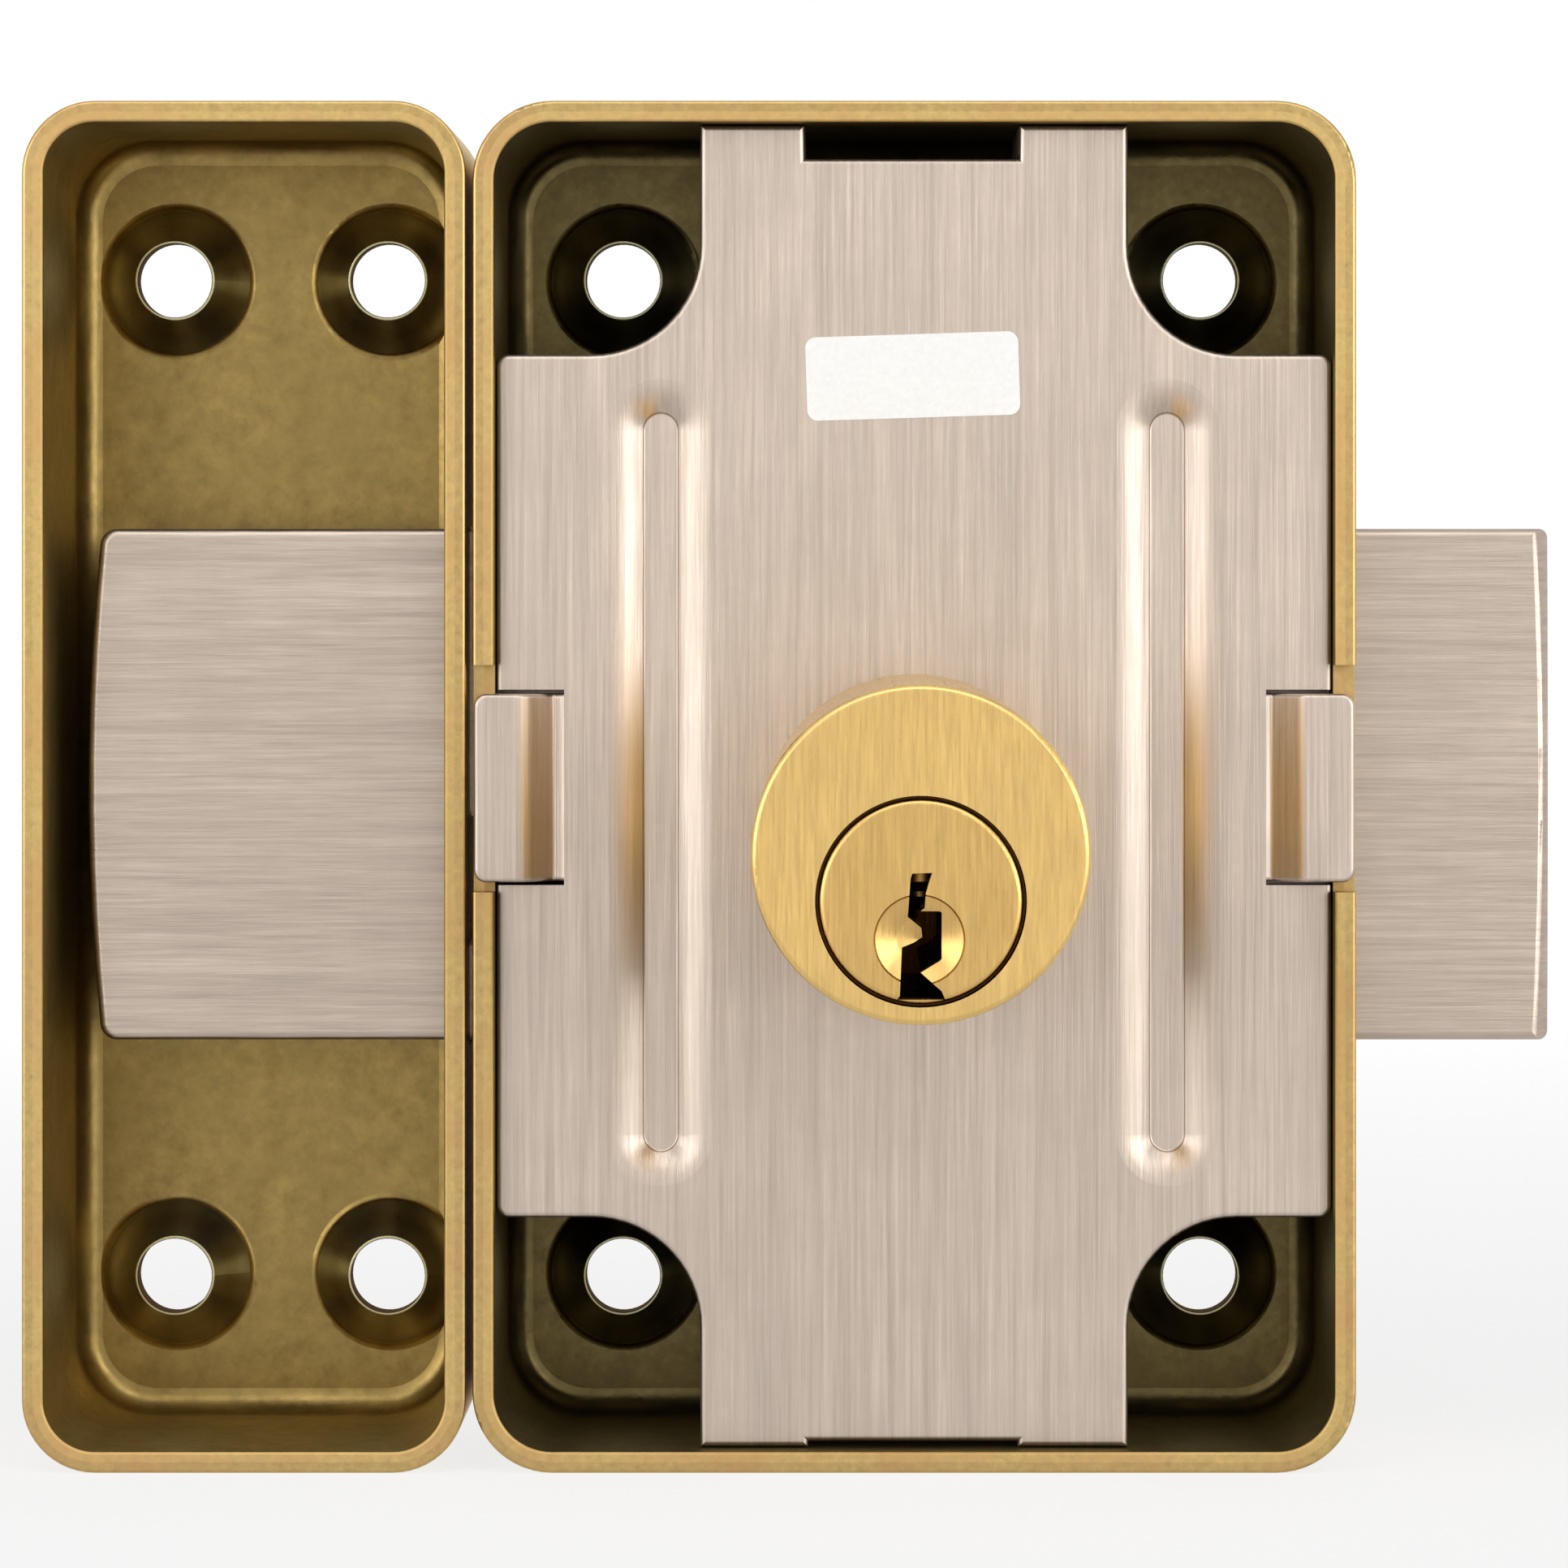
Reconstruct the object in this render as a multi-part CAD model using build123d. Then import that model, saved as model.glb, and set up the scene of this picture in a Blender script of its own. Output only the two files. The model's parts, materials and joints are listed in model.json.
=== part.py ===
from build123d import *
import math
import os

# A rim lock with a long outer cylinder, its bolt thrown into its strike box. All sizes are in millimetres.
# Frame: x runs to the right as seen from the door, y from the door into the room, z up.
# The origin is on the outer cylinder's axis, in the plane of the door's face.

# The drawn brass boxes of the lock and of the strike
CASE_Z = 3.2  # height of the middle of case, strike and bolt above the cylinder's axis
CASE_WIDTH = 65.3
CASE_HEIGHT = 101.4
CASE_DEPTH = 26.5
SHEET = 1.6
CASE_CORNER_R = 5.9
STRIKE_CORNER_R = 5.4
FLOOR_CORNER_R = 6.2  # of the inside, where the corners grow rounder towards the floor
OUTER_EDGE_R = 2.4
INNER_EDGE_R = 1.8
RIM_EDGE_R = 0.25
FLOOR_Y = CASE_DEPTH - SHEET
STRIKE_WIDTH = 32.8
STRIKE_GAP = 0.5
STRIKE_X = -CASE_WIDTH / 2 - STRIKE_GAP - STRIKE_WIDTH / 2

# The pressed dimples that the fixing screws pass through
CASE_SCREW_X = (-22.2, 22.2)
STRIKE_SCREW_X = (-56.7, -40.3)
SCREW_RISE = 38.3  # of each screw above and below the middle
SCREW_HOLE_R = 2.85
DIMPLE_FOOT_R = 5.75
DIMPLE_CROWN_R = 3.05
DIMPLE_CROWN_Y = 21.9
DIMPLE_CROWN_EDGE_R = 0.12
DIMPLE_FOOT_EDGE_R = 0.8
COUNTERSINK_R = 4.7
COUNTERSINK_DEPTH = 2.2

# The bolt, a long steel slab whose thrown end is bowed and whose tail is bevelled
BOLT_X = (-61.7, 47.45)
BOLT_Y = (6.0, 16.0)
BOLT_HALF_HEIGHT = 19.1
BOLT_NOSE_BOW = 1.0
BOLT_NOSE_CORNER_R = 1.3
BOLT_TAIL_CORNER_R = 0.7
BOLT_TAIL_BEVEL = 0.55  # at mid height
BOLT_TAIL_BOW = 0.5  # by which the bevel grows towards the corners
BOLT_TAIL_BLEND_R = 0.5  # between the bevel and the near face
BOLT_EDGE_R = 0.6
WINDOW_PLAY = 0.35

# The drive: a cog turned by key or knob, in mesh with a rack in the bolt's slot
PLUG_Z = -3.15  # the plug and the whole drive turn about this height
TEETH = 10
MODULE = 0.9
PRESSURE_ANGLE = math.radians(20)
PITCH_R = TEETH * MODULE / 2
COG_TIP_R = 5.4
COG_ROOT_R = 3.8
COG_Y = (8.0, 14.0)
COG_HUB_R = 3.4
COG_HUB_END_Y = 16.0
RACK_ADDENDUM = 0.5
RACK_DEDENDUM = 1.15
BACKLASH = 0.15
THROW = 2 * math.pi * PITCH_R  # one turn of the key
SLOT_PLAY = 0.3

# The back plate, pressed from steel
PLATE_Y = (2.0, 4.0)
PLATE_THICK = PLATE_Y[1] - PLATE_Y[0]
PLATE_HALF_WIDTH = 31.0
PLATE_HALF_HEIGHT = 49.0
NECK_HALF_WIDTH = 15.85
SHOULDER = 32.0  # height of the wide part above the middle
SHOULDER_CORNER_R = 0.9
NECK_FILLET_R = 8.1
TOP_NOTCH = ((-8.1, 7.8), 2.5)  # sides, depth
BOTTOM_NOTCH = ((-7.85, 7.7), 0.4)
BEAD_X = 18.8
BEAD_RISE = 0.25  # of the beads' middle above the case's
BEAD_HALF_LENGTH = 26.15  # between the centres of its round ends
BEAD_TROUGH = 1.25  # half width of its floor
BEAD_BRINK = (1.35, 0.86)  # half width and depth where its rolled sides end in a small drop
BEAD_SHOULDER = 3.8  # half width where it leaves the plate's level
BEAD_DEPTH = 1.1
BEAD_FOOT_R = 0.15
PLATE_EDGE_R = 0.4
TAB_DROP = 0.1  # of the tabs' middle below the case's
TAB_HALF_HEIGHT = 6.95
TAB_TIP_X = 32.55
# Each tab leaves the plate's level, dips to its root and rises to the rim: distances with dips, then radii
TAB_BENDS = {
    -1: (((25.95, 0.0), (26.75, 0.35), (28.75, -PLATE_THICK)), (0.8, 0.25, 1.5)),
    1: (((26.1, 0.0), (26.5, 0.1), (28.65, -PLATE_THICK)), (0.4, 0.25, 1.0)),
}
TAB_FAR_BEND_R = (1.5, 0.3)
TAB_CORNER_R = 0.9
TAB_EDGE_R = 0.3
TAB_SLIT = 0.3
TAB_NOTCH = (-7.8, 9.0)  # in the case's rim, from the middle
LEG_CORNER_R = 1.9

# The outer cylinder with its eccentric plug
BARREL_R = 11.5
BARREL_Y = (-45.0, PLATE_Y[0])
BARREL_EDGE_R = 0.4
PLUG_R = 7.1
PLUG_BORE_R = 7.15
PLUG_REAR_Y = 3.4
PLUG_FACE_R = 6.93
PLUG_FACE_DEPTH = 1.2
PLUG_FACE_EDGE_R = 0.4
PLUG_CLIP_Y = (2.1, 2.9)
PLUG_CLIP_R = (6.5, 8.2)
TAIL = (5.2, 1.2)  # width and thickness
TAIL_START_Y = 1.0
PLATE_PLUG_HOLE_R = 8.5
DISH_R = 3.1
DISH_BRINK = (2.98, 0.22)  # radius and depth at the foot of its steep edge
DISH_MIDDLE = (1.5, 0.8)  # radius and depth where its floor flattens
DISH_DEPTH = 1.1
DISH_CENTRE = (-0.1, -2.6)  # from the plug's axis
KEYWAY_REAR_Y = -14.0
BARREL_SCREW_XZ = ((-7.0, 5.9), (7.0, 5.9))
BARREL_SCREW_R = 1.5
BARREL_SCREW_END_Y = -6.0
BARREL_SCREW_HEAD = (2.9, 1.4)  # radius, depth
DRIVER_SLOT = (6.0, 0.7, 0.7)  # length, width, depth

# The pins of the cylinder, drawn at the shear line as when the right key is in
CHAMBER_Y = (-40.0, -36.0, -32.0, -28.0, -24.0, -20.0)
CHAMBER_R = 1.5
CHAMBER_FOOT = -1.9  # from the plug's axis
PIN_R = 1.45
KEY_PIN_LENGTHS = (6.4, 7.6, 5.8, 8.2, 7.0, 6.1)
KEY_PIN_TOP = 6.9
KEY_PIN_TIP = 0.7
DRIVER_FOOT = 7.25
DRIVER_LENGTH = 2.6
DRIVER_CHAMFER = 0.25
COVER_HALF_WIDTH = 1.8
COVER_FOOT_Z = 10.3
COVER_Y = (-43.0, -17.0)
SPRING_COIL_R = 1.15
SPRING_WIRE_R = 0.16
SPRING_TURNS = 5

# The bolt's guide channel and its detent
GUIDE_BASE_Y = (16.3, 17.8)
GUIDE_FLANGE_NEAR_Y = 7.0
GUIDE_HALF_LENGTH = 24.0
GUIDE_GAP = 0.3
GUIDE_THICK = 1.5
GUIDE_SPINDLE_HOLE_R = 3.2
POST_XZ = ((-18.0, -14.0), (18.0, -14.0), (-18.0, 14.0), (18.0, 14.0))  # from the middle
POST_R = 2.5
POST_SPIGOT_R = 1.48
POST_HOLE_R = 1.5
DETENT_X = 10.0
DETENT_Y = (9.2, 12.8)
DETENT_NOTCH = 2.0  # half width and depth of each V notch in the bolt
LEAF_X = (-21.0, -7.0)  # the flat stretch that is riveted down
LEAF_THICK = 0.5
LEAF_LIFT = 0.3  # of the nose's shoulders
LEAF_TIP = (3.0, 0.4)  # length and rise of the free end
LEAF_BEND_R = 0.5
LEAF_WINDOW_HALF = 4.4
LEAF_WINDOW_PLAY = 0.5
RIVET_X = (-17.0, -11.0)
RIVET_R = 1.2
RIVET_HEAD = (2.0, 0.7)  # radius, height
RIVET_HEAD_EDGE_R = 0.5

# The room side: spindle, bush and thumb turn
SPINDLE_R = 2.5
SPINDLE_SQUARE = 3.5
SPINDLE_SQUARE_Y = (11.0, 16.0)
SPINDLE_END_Y = 43.0
COLLAR_R = 3.6
COLLAR_Y = (20.9, 22.4)
BUSH_BORE_R = 2.56
BUSH_R = 5.0
BUSH_Y = (22.5, 29.0)
BUSH_FLANGE_R = 7.5
BUSH_FLANGE_Y = (CASE_DEPTH, 28.0)
BUSH_FLANGE_EDGE_R = 0.5
SPINDLE_CLIP_Y = (29.1, 29.8)
SPINDLE_CLIP_R = (2.1, 4.2)
CLIP_GAP = 0.6  # of a snap ring, as a share of its inner radius to each side
KNOB_Y = (28.4, 50.0)
KNOB_DISC_R = 12.0
KNOB_DISC_EDGE_R = 1.6
KNOB_DISC_END_Y = 35.4
KNOB_RECESS_R = 8.0
KNOB_RECESS_END_Y = 30.9
KNOB_WING_REACH = (11.0, 10.6, 9.0)  # half height at its root, above the disc and at its top
KNOB_WING_ROOT = (-1.0, 2.0)  # depth of the first two of these from the disc's face
KNOB_WING_FOOT_R = 0.5
KNOB_WING_TOP_R = 3.5
KNOB_WING_EDGE_R = 1.2
KNOB_WING_HALF_WIDTH = 4.6
SPINDLE_HOLE_END_Y = 43.5
SET_SCREW_Y = 33.2
SET_SCREW_R = 1.5
SET_SCREW_X = (2.55, 9.5)
SET_SCREW_SOCKET = (0.87, 2.0)  # corner radius, depth

# The paper label on the plate
LABEL = (15.8, 6.2, 0.1)  # width, height, thickness
LABEL_CORNER_R = 0.8
LABEL_X = -0.1
LABEL_RISE = 30.4
LABEL_TILT = 1.8

FIT = 0.02  # play between pieces that are fixed to each other
TAIL_PLAY = 0.15  # between the tailpiece and the cog


def slab(outline, y_near, y_far):
    """An outline drawn in x and z, made solid from y_near to y_far."""
    plane = Plane(origin=(0, y_far, 0), x_dir=(1, 0, 0), z_dir=(0, -1, 0))
    return extrude(plane * outline, amount=y_far - y_near)


def rod(radius, y_near, y_far, x=0.0, z=0.0):
    """A round bar that runs along y."""
    return slab(Pos(x, z) * Circle(radius), y_near, y_far)


def block(x, y, z):
    """A box between two values on each axis."""
    centre = Pos(sum(x) / 2, sum(y) / 2, sum(z) / 2)
    return centre * Box(x[1] - x[0], y[1] - y[0], z[1] - z[0])


def turned(points, x=0.0, z=0.0):
    """A closed line of radius and depth, spun about an axis along y."""
    profile = make_face(Polyline(*points, close=True))
    return Pos(x, 0, z) * revolve(profile, axis=Axis.Y)


def corners_at(outline, x, y):
    """The corners of an outline that lie x and y from its middle, on any side."""
    return outline.vertices().filter_by(lambda v: abs(abs(v.X) - x) < 0.01 and abs(abs(v.Y) - y) < 0.01)


def near_edges(solid):
    """The edges round the face that lies nearest the door."""
    return solid.faces().sort_by(Axis.Y)[0].edges()


def far_edges(solid):
    """The edges round the face that lies furthest into the room."""
    return solid.faces().sort_by(Axis.Y)[-1].edges()


def dimple(x, z):
    """The cone that is pressed inwards round a screw hole, soft at its crown and foot."""
    spread = (DIMPLE_FOOT_R + 2 * DIMPLE_FOOT_EDGE_R, FLOOR_Y)
    surface = FilletPolyline(
        (0, DIMPLE_CROWN_Y),
        (DIMPLE_CROWN_R, DIMPLE_CROWN_Y),
        (DIMPLE_FOOT_R, FLOOR_Y),
        spread,
        radius=(DIMPLE_CROWN_EDGE_R, DIMPLE_FOOT_EDGE_R),
    )
    back = Polyline(spread, (spread[0], CASE_DEPTH), (0, CASE_DEPTH), (0, DIMPLE_CROWN_Y))
    return Pos(x, 0, z) * revolve(make_face([*surface.edges(), *back.edges()]), axis=Axis.Y)


def countersunk_hole(x, z):
    """The screw's way through a dimple, sunk on the room side."""
    start = CASE_DEPTH - COUNTERSINK_DEPTH
    sink = turned([(0, start), (SCREW_HOLE_R, start), (COUNTERSINK_R, CASE_DEPTH), (0, CASE_DEPTH)], x, z)
    return sink + rod(SCREW_HOLE_R, 0, CASE_DEPTH, x, z)


def box_hollow(x, width, rim_corner_r):
    """The inside of a drawn box, whose corners grow rounder towards its floor."""
    sections = []
    for y, corner_r in ((0, rim_corner_r - SHEET), (FLOOR_Y, FLOOR_CORNER_R)):
        plane = Plane(origin=(0, y, 0), x_dir=(1, 0, 0), z_dir=(0, -1, 0))
        outline = RectangleRounded(width - 2 * SHEET, CASE_HEIGHT - 2 * SHEET, corner_r)
        sections.append(plane * (Pos(x, CASE_Z) * outline))
    return fillet(far_edges(loft(sections, ruled=True)), INNER_EDGE_R)


def drawn_box(x, width, corner_r, screw_columns):
    """A box drawn from brass sheet, open at the door, with its dimpled screw holes."""
    outline = RectangleRounded(width, CASE_HEIGHT, corner_r)
    outside = slab(Pos(x, CASE_Z) * outline, 0, CASE_DEPTH)
    outside = fillet(far_edges(outside), OUTER_EDGE_R)
    shell = outside - box_hollow(x, width, corner_r)
    shell = fillet(near_edges(shell), RIM_EDGE_R)
    for column in screw_columns:
        for row in (CASE_Z - SCREW_RISE, CASE_Z + SCREW_RISE):
            shell += dimple(column, row) & outside
            shell -= countersunk_hole(column, row)
    return shell


def bolt_window(x):
    """The opening in a side wall that the bolt slides through."""
    half = BOLT_HALF_HEIGHT + WINDOW_PLAY
    depth = (BOLT_Y[0] - WINDOW_PLAY, BOLT_Y[1] + WINDOW_PLAY)
    return block(x, depth, (CASE_Z - half, CASE_Z + half))


def lock_case():
    shell = drawn_box(0, CASE_WIDTH, CASE_CORNER_R, CASE_SCREW_X)
    outer = CASE_WIDTH / 2
    notch_z = (CASE_Z + TAB_NOTCH[0], CASE_Z + TAB_NOTCH[1])
    for side in (-1, 1):
        wall = sorted((side * (outer - 2 * SHEET), side * (outer + SHEET)))
        shell -= bolt_window(wall)
        shell -= block(wall, (0, PLATE_THICK), notch_z)
    return shell - rod(BUSH_R + FIT, FLOOR_Y, CASE_DEPTH, z=PLUG_Z)


def strike_box():
    shell = drawn_box(STRIKE_X, STRIKE_WIDTH, STRIKE_CORNER_R, STRIKE_SCREW_X)
    right = STRIKE_X + STRIKE_WIDTH / 2
    return shell - bolt_window((right - 2 * SHEET, right + SHEET))


def bolt_outline():
    """The bolt's long face: a bowed nose on the left and a straight tail on the right."""
    low = CASE_Z - BOLT_HALF_HEIGHT
    high = CASE_Z + BOLT_HALF_HEIGHT
    left = BOLT_X[0] + BOLT_NOSE_BOW
    right = BOLT_X[1]
    face = make_face([
        Line((left, low), (right, low)),
        Line((right, low), (right, high)),
        Line((right, high), (left, high)),
        ThreePointArc((left, high), (BOLT_X[0], CASE_Z), (left, low)),
    ])
    corners = face.vertices().sort_by(Axis.X)
    face = fillet(corners[:2], BOLT_NOSE_CORNER_R)
    return fillet(face.vertices().sort_by(Axis.X)[-2:], BOLT_TAIL_CORNER_R)


def tail_bevel():
    """A flat cone, far wider than the bolt, that bevels the near edge of the bolt's tail along a bow."""
    radius = (BOLT_HALF_HEIGHT**2 + BOLT_TAIL_BOW**2) / (2 * BOLT_TAIL_BOW)
    near, far = BOLT_Y
    axis_x = BOLT_X[1] - BOLT_TAIL_BEVEL - radius
    surface = FilletPolyline((0, near), (radius, near), (radius + far - near, far), radius=BOLT_TAIL_BLEND_R)
    back = Polyline(surface @ 1, (0, far), surface @ 0)
    return Pos(axis_x, 0, CASE_Z) * revolve(make_face([*surface.edges(), *back.edges()]), axis=Axis.Y)


def rack_slot():
    """The slot that the cog works in, with the rack along its upper edge."""
    left = -THROW - COG_TIP_R - SLOT_PLAY
    right = COG_TIP_R + SLOT_PLAY
    floor = PLUG_Z - COG_TIP_R - SLOT_PLAY
    pitch_line = PLUG_Z + PITCH_R
    root = pitch_line + RACK_DEDENDUM
    tip = pitch_line - RACK_ADDENDUM
    pitch = math.pi * MODULE
    half = pitch / 4 - BACKLASH / 4
    half_tip = half - RACK_ADDENDUM * math.tan(PRESSURE_ANGLE)
    half_root = half + RACK_DEDENDUM * math.tan(PRESSURE_ANGLE)
    points = [(left, floor), (right, floor), (right, root)]
    tooth = math.floor((right - half_root) / pitch - 0.5)
    while (tooth + 0.5) * pitch - half_root > left:
        middle = (tooth + 0.5) * pitch
        points += [(middle + half_root, root), (middle + half_tip, tip)]
        points += [(middle - half_tip, tip), (middle - half_root, root)]
        tooth -= 1
    points.append((left, root))
    return make_face(Polyline(*points, close=True))


def detent_notches():
    """A V in the bolt's top edge for each end of its travel."""
    top = CASE_Z + BOLT_HALF_HEIGHT
    notches = Sketch()
    for x in (DETENT_X, DETENT_X - THROW):
        corners = [(x - DETENT_NOTCH, top), (x, top - DETENT_NOTCH), (x + DETENT_NOTCH, top)]
        notches += make_face(Polyline(*corners, close=True))
    return notches


def bolt():
    solid = slab(bolt_outline(), *BOLT_Y)
    rims = [edge for face in solid.faces().filter_by(Axis.Y) for edge in face.edges()]
    solid = fillet(rims, BOLT_EDGE_R) & tail_bevel()
    return solid - slab(rack_slot(), *BOLT_Y) - slab(detent_notches(), *BOLT_Y)


def involute(angle):
    return math.tan(angle) - angle


def cog_outline():
    """Involute teeth round the drive's axis, one of them pointing straight up."""
    base_r = PITCH_R * math.cos(PRESSURE_ANGLE)
    half_at_pitch = math.pi / (2 * TEETH) - BACKLASH / (4 * PITCH_R)

    def half_angle(radius):
        slope = math.acos(min(1, base_r / radius))
        return half_at_pitch + involute(PRESSURE_ANGLE) - involute(slope)

    def point(radius, angle):
        return (radius * math.sin(angle), PLUG_Z + radius * math.cos(angle))

    middle_r = (base_r + COG_TIP_R) / 2
    foot = half_angle(base_r)
    tooth_step = 2 * math.pi / TEETH
    edges = []
    for number in range(TEETH):
        centre = number * tooth_step
        flanks = {}
        for side in (-1, 1):
            flanks[side] = [point(r, centre + side * half_angle(r)) for r in (base_r, middle_r, COG_TIP_R)]
            edges.append(ThreePointArc(*flanks[side]))
            edges.append(Line(point(COG_ROOT_R, centre + side * foot), flanks[side][0]))
        edges.append(ThreePointArc(flanks[-1][2], point(COG_TIP_R, centre), flanks[1][2]))
        root_start = point(COG_ROOT_R, centre + foot)
        root_middle = point(COG_ROOT_R, centre + tooth_step / 2)
        root_end = point(COG_ROOT_R, centre + tooth_step - foot)
        edges.append(ThreePointArc(root_start, root_middle, root_end))
    return make_face(edges)


def drive_cog():
    cog = slab(cog_outline(), *COG_Y) + rod(COG_HUB_R, COG_Y[1], COG_HUB_END_Y, z=PLUG_Z)
    slot_width, slot_height = (side + 2 * TAIL_PLAY for side in TAIL)
    tail_slot = slab(Pos(0, PLUG_Z) * Rectangle(slot_width, slot_height), COG_Y[0], SPINDLE_SQUARE_Y[0])
    hole_side = SPINDLE_SQUARE + 2 * FIT
    square = slab(Pos(0, PLUG_Z) * Rectangle(hole_side, hole_side), SPINDLE_SQUARE_Y[0], COG_HUB_END_Y)
    return cog - tail_slot - square


def bead_form(x, y):
    """A long pressed bead with round ends, whose sides roll over and then drop to a flat floor."""
    floor_y = y + BEAD_DEPTH
    brink = (BEAD_BRINK[0], y + BEAD_BRINK[1])
    level = (BEAD_SHOULDER, y)
    foot = (BEAD_TROUGH, floor_y)
    half_section = make_face([
        Line((0, y), level),
        TangentArc(level, brink, tangent=(-1, 0)),
        Line(brink, foot),
        Line(foot, (0, floor_y)),
        Line((0, floor_y), (0, y)),
    ])
    half_section = fillet(corners_at(half_section, *foot), BEAD_FOOT_R)
    section = half_section + mirror(half_section, about=Plane.YZ)
    form = extrude(section, amount=BEAD_HALF_LENGTH, both=True)
    round_end = revolve(half_section, axis=Axis.Y)
    for end in (-BEAD_HALF_LENGTH, BEAD_HALF_LENGTH):
        form += Pos(0, 0, end) * round_end
    return Pos(x, 0, CASE_Z + BEAD_RISE) * form


def plate_outline():
    """The plate before bending: a wide middle, a neck at each end and a notch in each neck."""
    wide = Rectangle(2 * PLATE_HALF_WIDTH, 2 * SHOULDER)
    neck = Rectangle(2 * NECK_HALF_WIDTH, 2 * PLATE_HALF_HEIGHT)
    outline = wide + neck
    outline = fillet(corners_at(outline, NECK_HALF_WIDTH, SHOULDER), NECK_FILLET_R)
    outline = fillet(corners_at(outline, PLATE_HALF_WIDTH, SHOULDER), SHOULDER_CORNER_R)
    for side, ((left, right), depth) in ((1, TOP_NOTCH), (-1, BOTTOM_NOTCH)):
        centre = Pos((left + right) / 2, side * (PLATE_HALF_HEIGHT - depth / 2))
        outline -= centre * Rectangle(right - left, depth)
    return Pos(0, CASE_Z) * outline


def tab_near_line(side):
    """The near face of a tab in section: off the plate's level, up the bend and out into the rim's notch."""
    bends, radii = TAB_BENDS[side]
    points = [(bends[0][0] - 1, 0), *bends, (TAB_TIP_X, bends[-1][1])]
    return FilletPolyline(*[(side * x, PLATE_Y[0] + dip) for x, dip in points], radius=radii)


def tab_far_line(side):
    """The far face of a tab, which stands the plate's thickness behind the near one."""
    level, root, rim = TAB_BENDS[side][0]
    rise = math.atan2(root[1] - rim[1], rim[0] - root[0])
    shift = PLATE_THICK * math.tan(rise / 2)
    fall = (root[1] - level[1]) / math.tan(rise)
    points = [(level[0] - 1, 0), (root[0] + shift + fall, 0), (rim[0] + shift, rim[1]), (TAB_TIP_X, rim[1])]
    return FilletPolyline(*[(side * x, PLATE_Y[1] + dip) for x, dip in points], radius=TAB_FAR_BEND_R)


def plate_tab(side):
    """A side tab, bent up from the plate so that it lies in the rim's notch."""
    near = tab_near_line(side)
    far = tab_far_line(side)
    section = make_face([*near.edges(), Line(near @ 1, far @ 1), *far.edges(), Line(far @ 0, near @ 0)])
    tab = Pos(0, 0, CASE_Z - TAB_DROP) * extrude(section, amount=TAB_HALF_HEIGHT, both=True)
    corners = tab.edges().filter_by(Axis.Y).filter_by(lambda edge: abs(edge.center().X) > TAB_TIP_X - 0.1)
    tab = fillet(corners, TAB_CORNER_R)
    outer_edges = near_edges(tab).filter_by(lambda edge: abs(edge.center().X) > TAB_TIP_X - 1.5)
    return fillet(outer_edges, TAB_EDGE_R)


def plate_leg(side, x):
    """A leg bent back from a neck's end, which stands on the case's floor."""
    outer = CASE_Z + side * PLATE_HALF_HEIGHT
    inner = outer - side * PLATE_THICK
    leg = block(x, (PLATE_Y[0], FLOOR_Y), sorted((inner, outer)))
    foot = leg.edges().filter_by(Axis.X).filter_by(
        lambda edge: edge.center().Y > FLOOR_Y - 0.1 and abs(edge.center().Z - outer) < 0.1
    )
    return fillet(foot, LEG_CORNER_R)


def barrel_screw(x, z):
    """A countersunk screw, driven from the bolt's side into the barrel."""
    head_r, head_depth = BARREL_SCREW_HEAD
    top = PLATE_Y[1]
    points = [(0, BARREL_SCREW_END_Y), (BARREL_SCREW_R, BARREL_SCREW_END_Y)]
    points += [(BARREL_SCREW_R, top - head_depth), (head_r, top), (0, top)]
    return turned(points, x, z)


def back_plate():
    plate = slab(plate_outline(), *PLATE_Y)
    for side, (sides, _) in ((1, TOP_NOTCH), (-1, BOTTOM_NOTCH)):
        plate += plate_leg(side, (-NECK_HALF_WIDTH, sides[0]))
        plate += plate_leg(side, (sides[1], NECK_HALF_WIDTH))
    plate = fillet(near_edges(plate), PLATE_EDGE_R)
    tab_z = CASE_Z - TAB_DROP
    slit_half = TAB_HALF_HEIGHT + TAB_SLIT
    for side in (-1, 1):
        slit_start = TAB_BENDS[side][0][0][0]
        opening = sorted((side * slit_start, side * (PLATE_HALF_WIDTH + 1)))
        plate -= block(opening, PLATE_Y, (tab_z - slit_half, tab_z + slit_half))
        plate += plate_tab(side)
        plate += bead_form(side * BEAD_X, PLATE_Y[1])
        plate -= bead_form(side * BEAD_X, PLATE_Y[0])
    plate -= rod(PLATE_PLUG_HOLE_R, *PLATE_Y, z=PLUG_Z)
    for x, z in BARREL_SCREW_XZ:
        plate -= barrel_screw(x, z)
    return plate


def label_sticker():
    width, height, thickness = LABEL
    outline = Rot(0, 0, LABEL_TILT) * RectangleRounded(width, height, LABEL_CORNER_R)
    return slab(Pos(LABEL_X, CASE_Z + LABEL_RISE) * outline, PLATE_Y[0] - thickness, PLATE_Y[0])


def keyway_outline():
    """The warded keyway, measured from the plug's axis and open at the plug's foot."""
    right_side = [(-0.59, 1.90), (0.76, 1.94), (0.56, 1.33), (0.33, 0.56), (0.26, -0.44), (-0.01, -0.67)]
    right_ward = [(1.26, -0.67), (1.41, -0.75), (1.41, -3.90), (1.26, -4.05), (-0.01, -4.82)]
    foot = [(1.41, -6.05), (1.64, -6.62), (-1.62, -6.62), (-1.43, -6.36)]
    left_ward = [(-1.28, -3.13), (-0.51, -2.83), (0.10, -2.44), (0.03, -1.82), (-0.89, -1.06), (-0.70, 1.56)]
    return make_face(Polyline(*right_side, *right_ward, *foot, *left_ward, close=True))


def chamber(y, foot_z, top_z, radius=CHAMBER_R):
    """A round hole or pin that stands upright at depth y."""
    return Pos(0, y, (foot_z + top_z) / 2) * Cylinder(radius, top_z - foot_z)


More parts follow.
